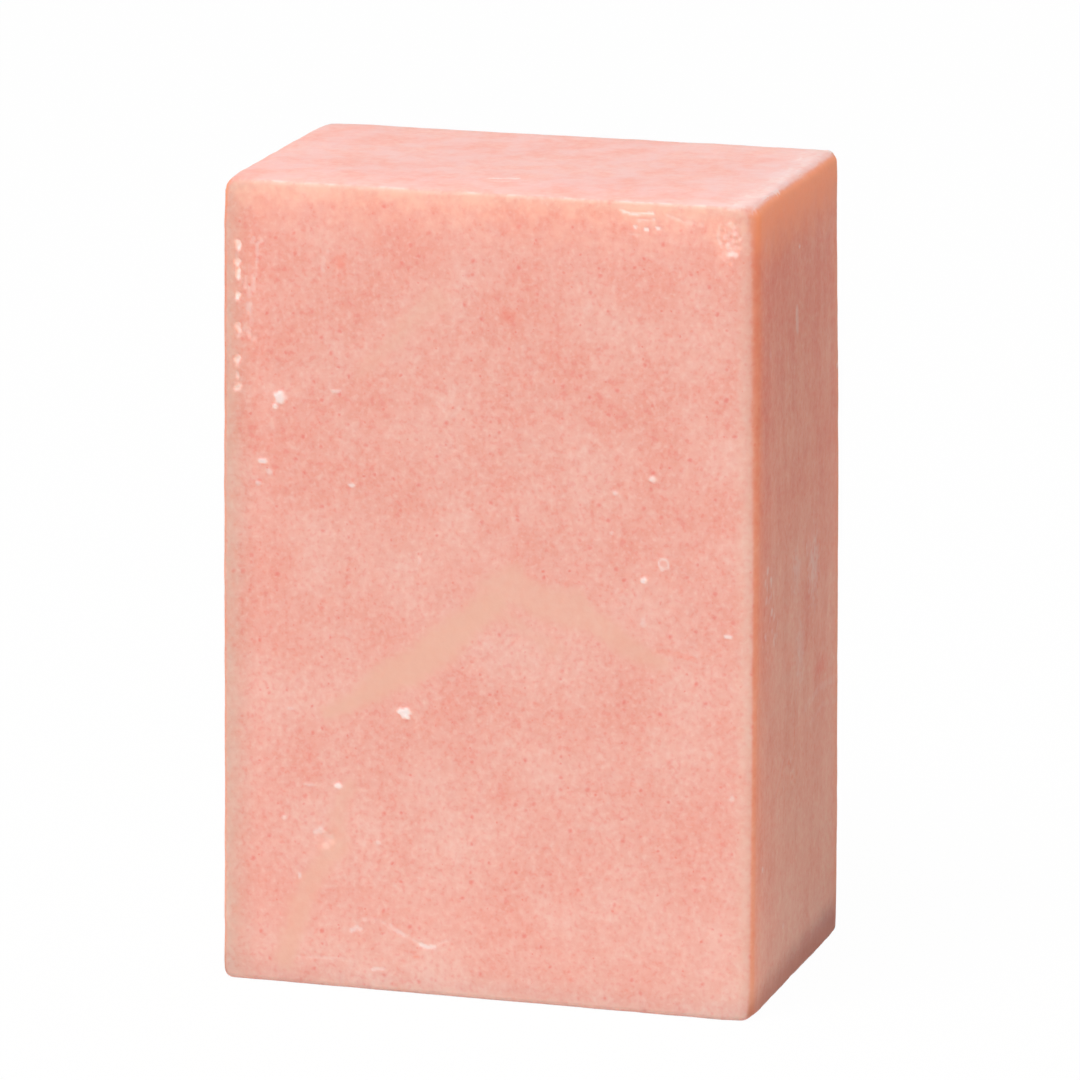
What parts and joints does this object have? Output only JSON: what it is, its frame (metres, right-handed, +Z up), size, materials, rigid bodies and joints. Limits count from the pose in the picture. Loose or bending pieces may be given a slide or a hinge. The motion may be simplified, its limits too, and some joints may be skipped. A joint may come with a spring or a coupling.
{
  "type": "bar of soap",
  "caption": "Hand-cut rectangular bar of soap with softly worn edges, standing on its short end.",
  "frame": {"origin": "centre of the foot, the short end that the bar stands on", "axes": "+Z up, from foot to crown; -Y out of the broad front face; +X towards the right-hand side"},
  "size_m": [0.054, 0.0332, 0.08],
  "materials": {
    "soap": "coral-pink soap, finely mottled, satin with a translucent glow at its edges"
  },
  "bodies": {
    "root": {"soap_bar": "soap"}
  },
  "joints": []
}
